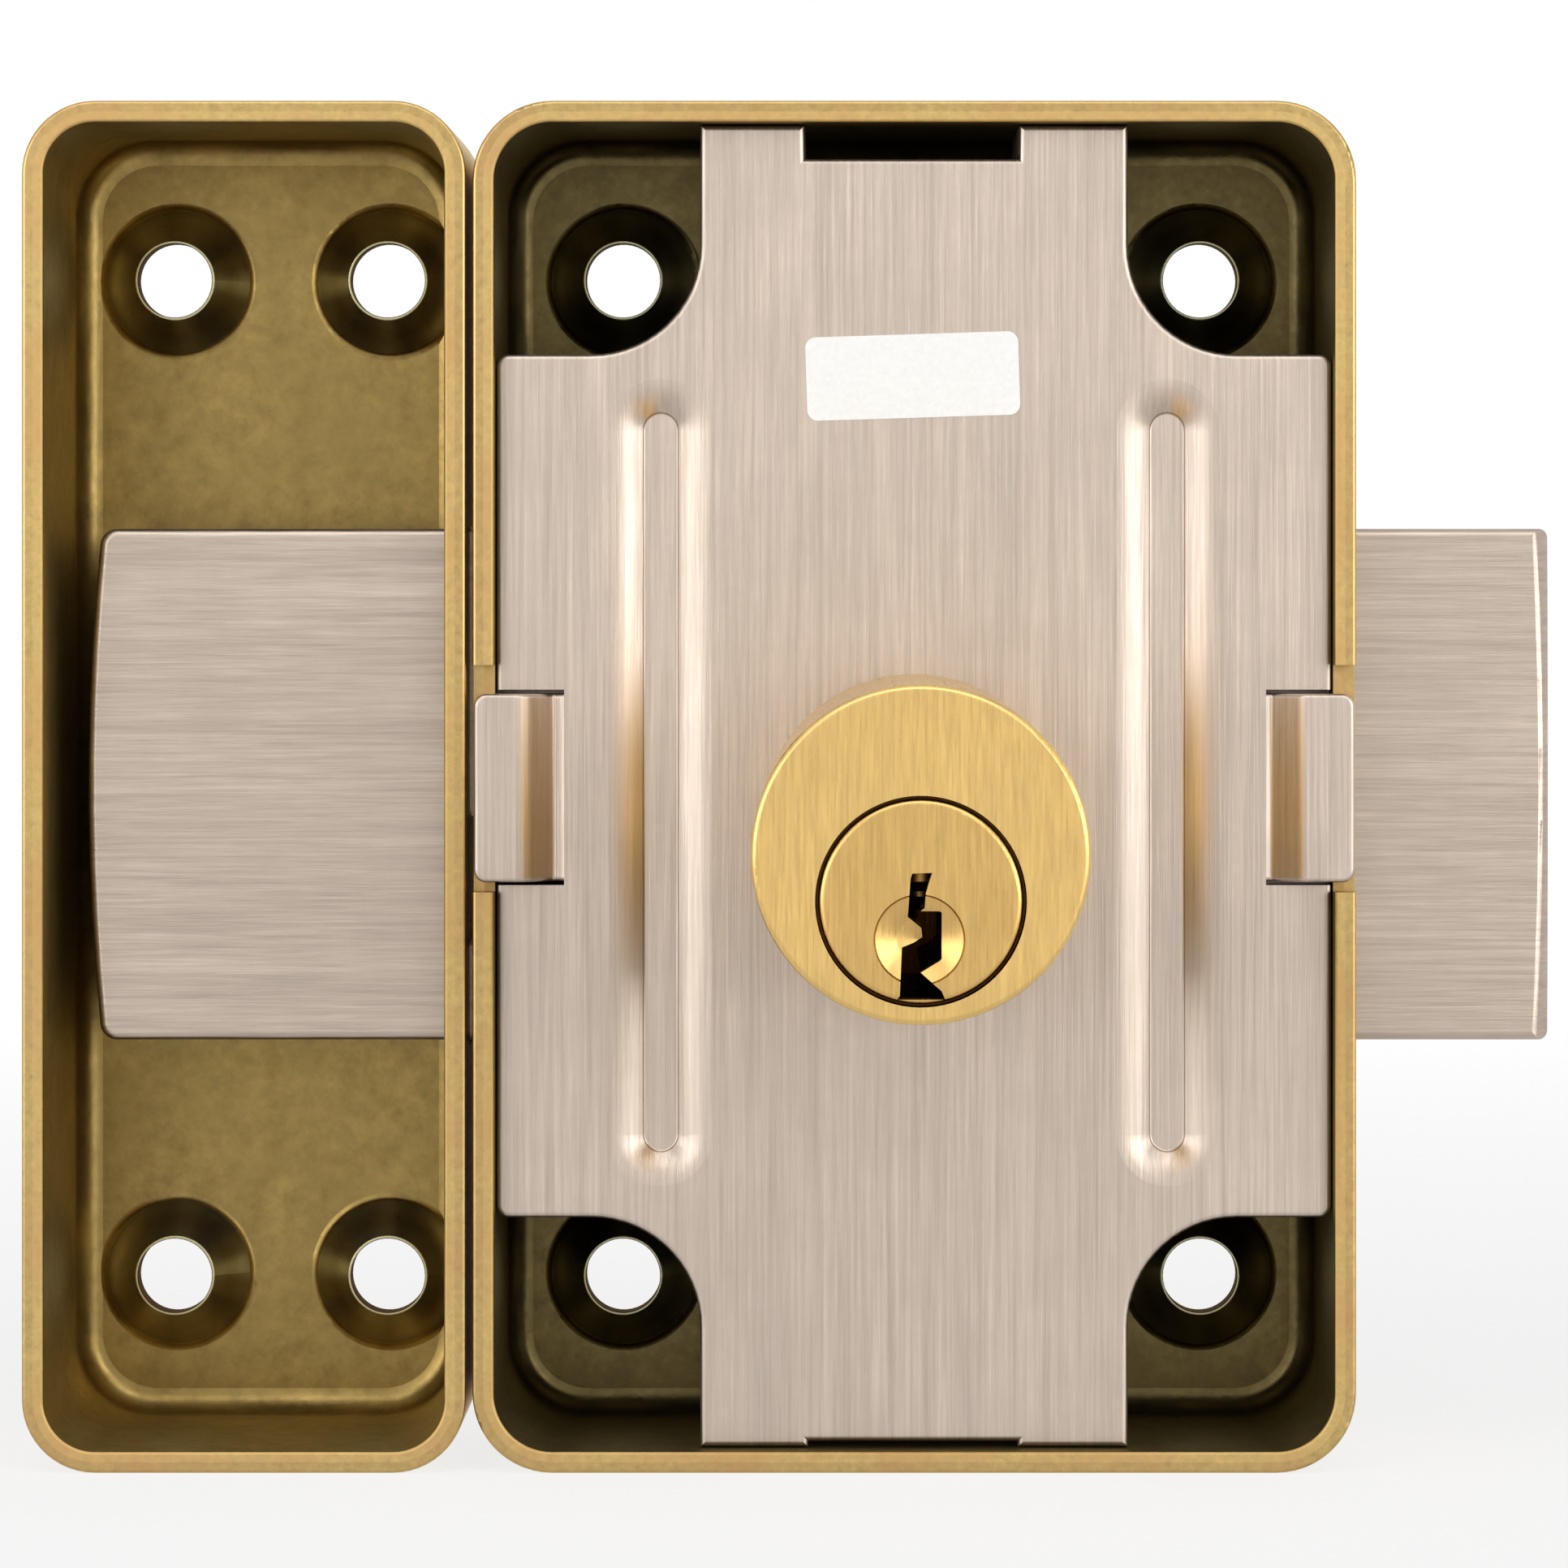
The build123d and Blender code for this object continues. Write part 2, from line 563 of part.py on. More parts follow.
def cylinder_body():
    body = rod(BARREL_R, *BARREL_Y)
    body = fillet(near_edges(body), BARREL_EDGE_R)
    body -= rod(PLUG_BORE_R, *BARREL_Y, z=PLUG_Z)
    for y in CHAMBER_Y:
        body -= chamber(y, PLUG_Z, COVER_FOOT_Z)
    body -= cover_space(0)
    for x, z in BARREL_SCREW_XZ:
        body -= rod(BARREL_SCREW_R + FIT, BARREL_SCREW_END_Y - 1, BARREL_Y[1], x, z)
    return body


def cover_space(play):
    """The long recess over the chambers, drawn in by play on each side."""
    half = COVER_HALF_WIDTH - play
    return block((-half, half), (COVER_Y[0] + play, COVER_Y[1] - play), (COVER_FOOT_Z, BARREL_R + 1))


def chamber_cover():
    return cover_space(FIT) & rod(BARREL_R, *BARREL_Y)


def plug_dish():
    """The shallow dish, sharp at its edge, that leads the key into the keyway."""
    x, z = DISH_CENTRE
    profile = [(0, 0), (DISH_R, 0), DISH_BRINK, DISH_MIDDLE, (0, DISH_DEPTH)]
    return turned([(radius, BARREL_Y[0] + depth) for radius, depth in profile], x, PLUG_Z + z)


def cylinder_plug():
    face_rear = BARREL_Y[0] + PLUG_FACE_DEPTH
    face = rod(PLUG_FACE_R, BARREL_Y[0], face_rear, z=PLUG_Z)
    face = fillet(near_edges(face), PLUG_FACE_EDGE_R)
    plug = face + rod(PLUG_R, face_rear, PLUG_REAR_Y, z=PLUG_Z)
    plug -= plug_dish()
    plug -= slab(Pos(0, PLUG_Z) * keyway_outline(), BARREL_Y[0], KEYWAY_REAR_Y)
    for y in CHAMBER_Y:
        plug -= chamber(y, PLUG_Z + CHAMBER_FOOT, PLUG_Z + PLUG_R)
    tail_width, tail_thick = (side + 2 * FIT for side in TAIL)
    tail_slot = slab(Pos(0, PLUG_Z) * Rectangle(tail_width, tail_thick), TAIL_START_Y, PLUG_REAR_Y)
    return plug - clip_groove(PLUG_R, PLUG_CLIP_R[0], PLUG_CLIP_Y) - tail_slot


def clip_groove(bar_r, foot_r, y):
    """The groove that a snap ring sits in, with a little play on each side."""
    sides = (y[0] - FIT, y[1] + FIT)
    return rod(bar_r + 1, *sides, z=PLUG_Z) - rod(foot_r - FIT, *sides, z=PLUG_Z)


def circlip(inner_r, outer_r, y_near, y_far):
    """A snap ring with its gap at the foot."""
    ring = rod(outer_r, y_near, y_far, z=PLUG_Z) - rod(inner_r, y_near, y_far, z=PLUG_Z)
    half_gap = inner_r * CLIP_GAP
    gap = block((-half_gap, half_gap), (y_near, y_far), (PLUG_Z - outer_r - 1, PLUG_Z))
    return ring - gap


def tailpiece():
    return slab(Pos(0, PLUG_Z) * Rectangle(*TAIL), TAIL_START_Y, SPINDLE_SQUARE_Y[0] - TAIL_PLAY)


def key_pin(number):
    """A pin whose pointed foot rides on the key."""
    top = PLUG_Z + KEY_PIN_TOP
    foot = top - KEY_PIN_LENGTHS[number]
    pin = chamber(CHAMBER_Y[number], foot, top, PIN_R)
    return chamfer(pin.faces().sort_by(Axis.Z)[0].edges(), KEY_PIN_TIP)


def driver_pin(number):
    foot = PLUG_Z + DRIVER_FOOT
    pin = chamber(CHAMBER_Y[number], foot, foot + DRIVER_LENGTH, PIN_R)
    return chamfer(pin.faces().sort_by(Axis.Z)[-1].edges(), DRIVER_CHAMFER)


def pin_spring(number):
    """A coil of round wire between a driver pin and the cover."""
    foot = PLUG_Z + DRIVER_FOOT + DRIVER_LENGTH + SPRING_WIRE_R
    height = COVER_FOOT_Z - SPRING_WIRE_R - foot
    half_turns = 2 * SPRING_TURNS
    rise = height / half_turns
    coil = []
    for half in range(half_turns):
        side = 1 if half % 2 == 0 else -1
        start = (side * SPRING_COIL_R, 0, half * rise)
        middle = (0, side * SPRING_COIL_R, (half + 0.5) * rise)
        end = (-side * SPRING_COIL_R, 0, (half + 1) * rise)
        coil.append(ThreePointArc(start, middle, end))
    path = Wire(coil)
    section = Plane(origin=path @ 0, z_dir=path % 0) * Circle(SPRING_WIRE_R)
    return Pos(0, CHAMBER_Y[number], foot) * sweep(section, path=path)


def cylinder_screws():
    length, width, depth = DRIVER_SLOT
    top = PLATE_Y[1]
    screws = []
    for x, z in BARREL_SCREW_XZ:
        slot = block((x - length / 2, x + length / 2), (top - depth, top), (z - width / 2, z + width / 2))
        screws.append(barrel_screw(x, z) - slot)
    return Compound(children=screws)


def bolt_guide():
    """A channel behind the bolt whose flanges carry it above and below."""
    inner = BOLT_HALF_HEIGHT + GUIDE_GAP
    outer = inner + GUIDE_THICK
    channel = block(
        (-GUIDE_HALF_LENGTH, GUIDE_HALF_LENGTH),
        (GUIDE_FLANGE_NEAR_Y, GUIDE_BASE_Y[1]),
        (CASE_Z - outer, CASE_Z + outer),
    )
    bends = channel.edges().filter_by(Axis.X).group_by(Axis.Y)[-1]
    channel = fillet(bends, GUIDE_THICK)
    channel -= block(
        (-GUIDE_HALF_LENGTH, GUIDE_HALF_LENGTH),
        (GUIDE_FLANGE_NEAR_Y, GUIDE_BASE_Y[0]),
        (CASE_Z - inner, CASE_Z + inner),
    )
    channel -= rod(GUIDE_SPINDLE_HOLE_R, *GUIDE_BASE_Y, z=PLUG_Z)
    for x, z in POST_XZ:
        channel -= rod(POST_HOLE_R, *GUIDE_BASE_Y, x, CASE_Z + z)
    flange_z = (CASE_Z + inner, CASE_Z + outer)
    window = (DETENT_X - LEAF_WINDOW_HALF, DETENT_X + LEAF_WINDOW_HALF)
    channel -= block(window, (DETENT_Y[0] - LEAF_WINDOW_PLAY, DETENT_Y[1] + LEAF_WINDOW_PLAY), flange_z)
    for x in RIVET_X:
        channel -= rivet_hole(x, *flange_z)
    return channel


def rivet_hole(x, foot, top):
    return Pos(x, sum(DETENT_Y) / 2, (foot + top) / 2) * Cylinder(RIVET_R + FIT, top - foot)


def guide_posts():
    posts = []
    for x, z in POST_XZ:
        post = rod(POST_R, GUIDE_BASE_Y[1], FLOOR_Y, x, CASE_Z + z)
        posts.append(post + rod(POST_SPIGOT_R, *GUIDE_BASE_Y, x, CASE_Z + z))
    return Compound(children=posts)


def leaf_top():
    return CASE_Z + BOLT_HALF_HEIGHT + GUIDE_GAP + GUIDE_THICK


def detent_spring():
    """A leaf riveted to the upper flange, whose V nose drops into the bolt's notch."""
    level = leaf_top() + LEAF_THICK / 2
    nose = CASE_Z + BOLT_HALF_HEIGHT - DETENT_NOTCH + LEAF_THICK
    lifted = level + LEAF_LIFT
    reach = lifted - nose
    tip_length, tip_rise = LEAF_TIP
    line = FilletPolyline(
        (LEAF_X[0], level),
        (LEAF_X[1], level),
        (DETENT_X - reach, lifted),
        (DETENT_X, nose),
        (DETENT_X + reach, lifted),
        (DETENT_X + reach + tip_length, lifted + tip_rise),
        radius=LEAF_BEND_R,
    )
    leaf = slab(trace(line, LEAF_THICK), *DETENT_Y)
    for x in RIVET_X:
        leaf -= rivet_hole(x, leaf_top(), leaf_top() + LEAF_THICK)
    return leaf


def detent_rivets():
    rivets = []
    foot = leaf_top() - GUIDE_THICK
    head_foot = leaf_top() + LEAF_THICK
    head_r, head_height = RIVET_HEAD
    for x in RIVET_X:
        shank = Pos(x, sum(DETENT_Y) / 2, (foot + head_foot) / 2) * Cylinder(RIVET_R, head_foot - foot)
        head = Pos(x, sum(DETENT_Y) / 2, head_foot + head_height / 2) * Cylinder(head_r, head_height)
        head = fillet(head.faces().sort_by(Axis.Z)[-1].edges(), RIVET_HEAD_EDGE_R)
        rivets.append(shank + head)
    return Compound(children=rivets)


def spindle():
    square = slab(Pos(0, PLUG_Z) * Rectangle(SPINDLE_SQUARE, SPINDLE_SQUARE), *SPINDLE_SQUARE_Y)
    shaft = rod(SPINDLE_R, SPINDLE_SQUARE_Y[1], SPINDLE_END_Y, z=PLUG_Z)
    collar = rod(COLLAR_R, *COLLAR_Y, z=PLUG_Z)
    return square + shaft + collar - clip_groove(SPINDLE_R, SPINDLE_CLIP_R[0], SPINDLE_CLIP_Y)


def spindle_bush():
    bush = rod(BUSH_R, *BUSH_Y, z=PLUG_Z)
    flange = rod(BUSH_FLANGE_R, *BUSH_FLANGE_Y, z=PLUG_Z)
    flange = fillet(far_edges(flange), BUSH_FLANGE_EDGE_R)
    return bush + flange - rod(BUSH_BORE_R, *BUSH_Y, z=PLUG_Z)


def knob():
    """The thumb turn: a round foot and an upright wing."""
    disc = rod(KNOB_DISC_R, KNOB_Y[0], KNOB_DISC_END_Y, z=PLUG_Z)
    disc = fillet(far_edges(disc), KNOB_DISC_EDGE_R)
    depths = [KNOB_DISC_END_Y + step for step in KNOB_WING_ROOT] + [KNOB_Y[1]]
    upper = list(zip(depths, KNOB_WING_REACH))
    lower = [(y, -z) for y, z in reversed(upper)]
    foot_r, top_r = KNOB_WING_FOOT_R, KNOB_WING_TOP_R
    radii = (foot_r, foot_r, top_r, top_r, foot_r, foot_r)
    wing_side = make_face(FilletPolyline(*upper, *lower, radius=radii, close=True))
    side_plane = Plane(origin=(0, 0, PLUG_Z), x_dir=(0, 1, 0), z_dir=(1, 0, 0))
    wing = extrude(side_plane * wing_side, amount=KNOB_WING_HALF_WIDTH, both=True)
    wing = wing & rod(KNOB_WING_REACH[0], *KNOB_Y, z=PLUG_Z)
    wing = fillet(far_edges(wing), KNOB_WING_EDGE_R)
    turn = disc + wing
    turn -= rod(KNOB_RECESS_R, KNOB_Y[0], KNOB_RECESS_END_Y, z=PLUG_Z)
    turn -= rod(SPINDLE_R + FIT, KNOB_RECESS_END_Y, SPINDLE_HOLE_END_Y, z=PLUG_Z)
    return turn - set_screw_bar(SET_SCREW_R + FIT, 0, KNOB_DISC_R + 1)


def set_screw_bar(radius, start_x, end_x):
    return Pos((start_x + end_x) / 2, SET_SCREW_Y, PLUG_Z) * Rot(0, 90, 0) * Cylinder(radius, end_x - start_x)


def knob_set_screw():
    screw = set_screw_bar(SET_SCREW_R, *SET_SCREW_X)
    socket_plane = Plane(origin=(SET_SCREW_X[1], SET_SCREW_Y, PLUG_Z), z_dir=(-1, 0, 0))
    socket_r, socket_depth = SET_SCREW_SOCKET
    return screw - extrude(socket_plane * RegularPolygon(socket_r, 6), amount=socket_depth)


def model():
    """Every separate piece by its name."""
    pieces = {
        "lock_case": lock_case(),
        "strike_box": strike_box(),
        "bolt": bolt(),
        "back_plate": back_plate(),
        "label_sticker": label_sticker(),
        "cylinder_body": cylinder_body(),
        "cylinder_plug": cylinder_plug(),
        "plug_circlip": circlip(*PLUG_CLIP_R, *PLUG_CLIP_Y),
        "tailpiece": tailpiece(),
        "chamber_cover": chamber_cover(),
        "cylinder_screws": cylinder_screws(),
        "bolt_guide": bolt_guide(),
        "guide_posts": guide_posts(),
        "detent_spring": detent_spring(),
        "detent_rivets": detent_rivets(),
        "drive_cog": drive_cog(),
        "spindle": spindle(),
        "spindle_bush": spindle_bush(),
        "spindle_circlip": circlip(*SPINDLE_CLIP_R, *SPINDLE_CLIP_Y),
        "knob": knob(),
        "knob_set_screw": knob_set_screw(),
    }
    for number in range(len(CHAMBER_Y)):
        pieces[f"key_pin_{number + 1}"] = key_pin(number)
        pieces[f"driver_pin_{number + 1}"] = driver_pin(number)
        pieces[f"pin_spring_{number + 1}"] = pin_spring(number)
    return pieces


os.makedirs("parts", exist_ok=True)
for name, piece in model().items():
    export_step(piece, f"parts/{name}.step")
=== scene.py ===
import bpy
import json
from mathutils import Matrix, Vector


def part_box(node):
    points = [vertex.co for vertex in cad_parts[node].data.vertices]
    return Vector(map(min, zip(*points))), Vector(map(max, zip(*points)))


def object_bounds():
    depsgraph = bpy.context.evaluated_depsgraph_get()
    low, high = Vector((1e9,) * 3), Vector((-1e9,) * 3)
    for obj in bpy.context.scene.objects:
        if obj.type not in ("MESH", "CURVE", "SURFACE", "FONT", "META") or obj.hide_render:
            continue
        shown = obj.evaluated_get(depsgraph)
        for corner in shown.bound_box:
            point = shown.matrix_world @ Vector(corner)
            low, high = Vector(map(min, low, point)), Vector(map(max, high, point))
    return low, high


bl_info = {
    "name": "Rim Lock Finishes",
    "version": (1, 0, 0),
    "blender": (4, 5, 0),
    "location": "View3D > Sidebar > Rim Lock",
    "description": "Gives the parts of a rim lock their brass, steel and paper finishes and sets their stage",
    "category": "Material",
}

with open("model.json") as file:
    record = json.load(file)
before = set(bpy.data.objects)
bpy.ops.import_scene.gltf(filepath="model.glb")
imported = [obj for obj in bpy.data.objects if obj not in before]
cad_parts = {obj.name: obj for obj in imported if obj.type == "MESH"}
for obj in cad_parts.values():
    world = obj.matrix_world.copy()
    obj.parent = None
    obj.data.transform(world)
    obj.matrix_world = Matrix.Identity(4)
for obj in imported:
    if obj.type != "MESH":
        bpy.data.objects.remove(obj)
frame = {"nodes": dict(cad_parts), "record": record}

import json
import math

import bpy
from bpy.props import FloatProperty, FloatVectorProperty, PointerProperty
from mathutils import Vector

MM = 0.001
CAD_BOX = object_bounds()

# The photograph's frame and what was measured in it
PHOTO_SIDE = 1932
RIM_SCALE = 16.68  # pixels to a millimetre on the case's rim
SIGHT_PIXEL = (1040, 700)  # where the line of sight square to the door meets the picture
EYE_X = -5.19 * MM
EYE_Z = 19.36 * MM
SENSOR = 36.0  # width in millimetres, the unit of a lens
NEAR_CLIP = 10 * MM

# What the frame says of the pieces' places
PLUG_LOW, PLUG_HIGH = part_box("cylinder_plug")
PLUG_X = (PLUG_LOW[0] + PLUG_HIGH[0]) / 2
PLUG_Z = (PLUG_LOW[2] + PLUG_HIGH[2]) / 2
PLUG_RADIUS = (PLUG_HIGH[0] - PLUG_LOW[0]) / 2
BARREL_FACE_Y = PLUG_LOW[1]
MOUNTS = {mount["name"]: mount for mount in frame["record"]["mounts"]}

# The drawn boxes' sheet, countersinks and dimples
SHEET = 1.6 * MM
SKIN = 0.04 * MM  # of the sheet's own surface, left out of its cut edges
OUTER_EDGE = 2.5 * MM  # height of the rounded outer edge, where nothing is cut
SINK_RADIUS = 4.72 * MM
SINK_REACH = 5.6 * MM  # in a countersink, depth and radius together are less
DIMPLE_RADIUS = 5.55 * MM
DIMPLE_GREY = 0.5  # how far the dimples turn to their greyer brass
RING_GREY = 0.16  # how much that varies from ring to ring
RING_WAVES = 2600  # radians to a metre of the faint rings left by the press

# Where painted shade darkens the cylinder's bore, the plug's side and the keyway
UNSHADED_RIM = 0.1 * MM  # depth of the edge round the plug that the painted shade leaves out
BORE_MARGIN = 0.2 * MM  # from the plug's side out past the barrel's bore
SIDE_MARGIN = 0.22 * MM  # from the plug's side in to its face, which has no painted shade
KEYWAY_UNSHADED = 0.4 * MM  # depth down to which the keyway has no painted shade
KEYWAY_DARK = 3.0 * MM  # depth from which its painted shade is full

# Features to a metre along X, Y and Z of the marks that the tools left
PLATE_BRUSHING = (3400, 900, 62)
BOLT_BRUSHING = (110, 900, 3400)
LATHE_RINGS = (300, 9000, 300)
FACE_WIPES = (6500, 300, 320)
PRESS_DRAG = (2600, 2600, 140)
BAND_COUNT = 0.28  # broad bands to a brush stroke
HAIR_COUNT = 2.7  # fine hairs to a brush stroke
BAND_SHARE = 0.45  # of the bands in a brushed shade

# Tones that no setting holds
SHADED_PINS = 0.55  # of the turned brass, a painted shade on the pins inside the cylinder
LABEL_SHADE = (0.85, 0.85, 0.84)
LABEL_WHITE = (0.91, 0.91, 0.9)

# Roughness of each finish on its smoothest and on its roughest spots
PLATE_ROUGHNESS = (0.33, 0.45)
BOLT_ROUGHNESS = (0.3, 0.42)
ZINC_ROUGHNESS = (0.336, 0.525)
SPRING_ROUGHNESS = (0.2, 0.3125)
DRIVE_ROUGHNESS = (0.24, 0.375)
TURNED_ROUGHNESS = (0.24, 0.38)
DRAWN_ROUGHNESS = (0.26, 0.38)
PAPER_ROUGHNESS = (0.4, 0.55)
FLOOR_ROUGHNESS = 0.9
WALL_ROUGHNESS = 0.2  # added on the boxes' inner walls
HOLE_ROUGHNESS = 0.5  # added in their screw holes

# Height of the finishes' fine relief, and how strongly the fainter ones show
BRUSHED_RELIEF = 0.04 * MM
DRAWN_RELIEF = 0.02 * MM
TURNED_RELIEF = 0.012 * MM
MATT_RELIEF = 0.01 * MM
TURNED_STRENGTH = 0.4
MATT_STRENGTH = 0.3

# The stage, in metres
FLOOR_GAP = 0.05 * MM
FLOOR_REACH = 6.0
FLOOR_NEAR = 0.12  # from the lock's middle, where the shadow shows best
FLOOR_FAR = 0.5  # from here on the floor is white to the eye
FLOOR_GLOW = 0.8  # share of white near the lock
AIM = Vector((0, 0, 0))
TOP_PLACE = (0, -0.5, 0.62)
TOP_SIZE = (0.9, 0.5)
LEFT_PLACE = (-0.56, -0.56, 0.05)
RIGHT_PLACE = (0.56, -0.56, 0.05)
SIDE_SIZE = (0.75, 0.5)


class DrawnBox:
    """A drawn box's place, the radius of its corners and its screw pattern."""

    def __init__(self, node, corner, mount):
        self.low, self.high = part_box(node)
        self.corner = corner
        self.screws = MOUNTS[mount]


CASE = DrawnBox("lock_case", 5.9 * MM, "case_screws")
STRIKE = DrawnBox("strike_box", 5.4 * MM, "strike_screws")


def colour_prop(name, description, default):
    return FloatVectorProperty(
        name=name, description=description, default=default, size=3, subtype="COLOR", min=0.0, max=1.0
    )


def share_prop(name, description, default):
    return FloatProperty(
        name=name, description=description, default=default, subtype="FACTOR", min=0.0, max=1.0
    )


def length_prop(name, description, default):
    return FloatProperty(
        name=name, description=description, default=default, unit="LENGTH", subtype="DISTANCE"
    )


def power_prop(name, description, default):
    return FloatProperty(name=name, description=description, default=default, unit="POWER")


class BrassSettings(bpy.types.PropertyGroup):
    """Colours of the drawn boxes and of the turned brass, with painted shade inside the boxes and in the
    hollows.
    """

    rim: colour_prop("Cut rim", "Bright cut edge of the drawn boxes", (0.47, 0.33, 0.13))
    # the insides hold the brass's own olive tone and painted shade: they are set far darker than the outside,
    # the case's darkest, for the shade within the boxes
    case_inside_shaded: colour_prop("Case inside", "Dull olive-bronze inside of the case", (0.14, 0.106, 0.043))
    strike_inside_shaded: colour_prop("Strike inside", "Olive-gold inside of the strike", (0.285, 0.198, 0.066))
    outside: colour_prop("Outside", "Satin outside of the boxes", (0.50, 0.35, 0.13))
    turned: colour_prop("Turned brass", "Barrel, bush and thumb turn", (0.70, 0.47, 0.17))
    plug: colour_prop("Plug", "Face of the plug that takes the key", (0.62, 0.40, 0.138))
    patch: colour_prop("Rim patches", "Warmer patches along the cut rim", (0.46, 0.275, 0.115))
    dimple: colour_prop("Dimples", "Greyer brass of the pressed dimples", (0.54, 0.52, 0.34))
    # painted shade: a near-black brown laid in the screw holes, the barrel's bore, on the plug's side and
    # down the keyway, where shade falls
    hollow_shade: colour_prop("Tarnish", "Oiled, dark brass in bores and keyway", (0.075, 0.03, 0.008))
    glance: colour_prop("Glancing tone", "Drawn brass seen at a flat angle", (0.95, 0.88, 0.66))
    grain: share_prop("Grain", "Strength of the brass surface's fine unevenness", 0.35)


class SteelSettings(bpy.types.PropertyGroup):
    """Colours of the steel parts."""

    plate: colour_prop("Plate", "Brushed back plate", (0.52, 0.436, 0.368))
    bolt: colour_prop("Bolt", "Brushed bolt", (0.478, 0.398, 0.332))
    zinc: colour_prop("Zinc", "Plated guide, posts, rivets and drive", (0.50, 0.50, 0.49))
    spring: colour_prop("Spring steel", "Springs and snap rings", (0.33, 0.34, 0.36))
    grain: share_prop("Grain", "Strength of the brushing", 0.72)


class StageSettings(bpy.types.PropertyGroup):
    """Light, floor and camera."""

    distance: length_prop("Camera distance", "From the camera to the plane of the rims", 520 * MM)
    top_light: power_prop("Top light", "Power of the overhead lamp", 2.3)
    left_light: power_prop("Left light", "Power of the left lamp", 3.0)
    right_light: power_prop("Right light", "Power of the right lamp", 3.9)
    world: share_prop("World", "Strength of the pale surroundings on matt surfaces", 0.2)
    floor: colour_prop("Floor", "Pale floor under the lock", (0.92, 0.92, 0.92))


class NodeMaker:
    """Adds shader nodes to one material and links them."""

    def __init__(self, name):
        self.material = bpy.data.materials.new(name)
        self.material.use_nodes = True
        self.tree = self.material.node_tree
        self.shader = self.tree.nodes["Principled BSDF"]

    def add(self, kind, **values):
        node = self.tree.nodes.new(kind)
        for key, value in values.items():
            setattr(node, key, value)
        return node

    def join(self, source, target):
        self.tree.links.new(source, target)

    def feed(self, target, value):
        """Links a socket or sets a plain value."""
        if isinstance(value, bpy.types.NodeSocket):
            self.join(value, target)
        else:
            target.default_value = value

    def math(self, operation, first, second=0.0):
        node = self.add("ShaderNodeMath", operation=operation)
        self.feed(node.inputs[0], first)
        self.feed(node.inputs[1], second)
        return node.outputs[0]

    def between(self, value, low, high):
        """1 where a value lies between two others, else 0."""
        above = self.math("GREATER_THAN", value, low)
        return self.math("MULTIPLY", above, self.math("LESS_THAN", value, high))

    def beyond(self, value, middle, reach):
        """How far a value lies beyond reach on either side of a middle."""
        return self.math("SUBTRACT", self.math("ABSOLUTE", self.math("SUBTRACT", value, middle)), reach)

    def length(self, offsets):
        """The length of a step of so much along each of two axes."""
        squares = [self.math("MULTIPLY", offset, offset) for offset in offsets]
        return self.math("SQRT", self.math("ADD", *squares))

    def axes(self):
        """The point on the object in metres, as X, Y and Z."""
        node = self.add("ShaderNodeSeparateXYZ")
        self.join(self.place(), node.inputs[0])
        return node.outputs

    def place(self, scale=(1, 1, 1)):
        """The point on the object in metres, stretched by scale."""
        coordinates = self.add("ShaderNodeTexCoord")
        mapping = self.add("ShaderNodeMapping")
        mapping.inputs["Scale"].default_value = scale
        self.join(coordinates.outputs["Object"], mapping.inputs["Vector"])
        return mapping.outputs["Vector"]

    def noise(self, features, detail=3.0, roughness=0.6):
        """Noise with so many features to a metre, one count for each axis."""
        texture = self.add("ShaderNodeTexNoise")
        texture.inputs["Scale"].default_value = 1.0
        texture.inputs["Detail"].default_value = detail
        texture.inputs["Roughness"].default_value = roughness
        self.join(self.place(features), texture.inputs["Vector"])
        return texture.outputs["Fac"]

    def even_noise(self, features, detail=3.0, roughness=0.6):
        """Noise with as many features to a metre along every axis."""
        return self.noise((features, features, features), detail, roughness)

    def spread(self, value, low, high, start=0.3, end=0.7):
        """Maps a value from start to end, where most noise lies, onto low to high."""
        node = self.add("ShaderNodeMapRange")
        node.inputs["From Min"].default_value = start
        node.inputs["From Max"].default_value = end
        node.inputs["To Min"].default_value = low
        node.inputs["To Max"].default_value = high
        self.join(value, node.inputs["Value"])
        return node.outputs["Result"]

    def blend(self, factor, first, second):
        """Mixes two colours."""
        node = self.add("ShaderNodeMix", data_type="RGBA")
        self.feed(node.inputs["Factor"], factor)
        self.feed(node.inputs[6], opaque(first))
        self.feed(node.inputs[7], opaque(second))
        return node.outputs[2]

    def shades(self, value, colour, darkest, lightest):
        """A colour between a darker and a lighter tone of it, as a noise value says."""
        return self.blend(self.spread(value, 0, 1), tone(colour, darkest), tone(colour, lightest))

    def cloud(self, value, shade, colour, share, darkest):
        """Lays up to a share of a colour's darker tone over a shade, as a noise value says."""
        return self.blend(self.spread(value, 0, share), shade, tone(colour, darkest))

    def bump(self, height, distance, strength):
        node = self.add("ShaderNodeBump")
        node.inputs["Distance"].default_value = distance
        node.inputs["Strength"].default_value = strength
        self.join(height, node.inputs["Height"])
        return node.outputs["Normal"]

    def finish(self, colour, roughness, normal, metallic=1.0):
        self.join(colour, self.shader.inputs["Base Color"])
        self.join(roughness, self.shader.inputs["Roughness"])
        self.join(normal, self.shader.inputs["Normal"])
        self.shader.inputs["Metallic"].default_value = metallic
        return self.material


def opaque(colour):
    """A colour with its alpha, or a socket as it is."""
    if isinstance(colour, bpy.types.NodeSocket):
        return colour
    return (*colour[:3], 1.0)


def tone(colour, factor):
    """A colour made lighter or darker."""
    return tuple(min(1.0, channel * factor) for channel in colour[:3])


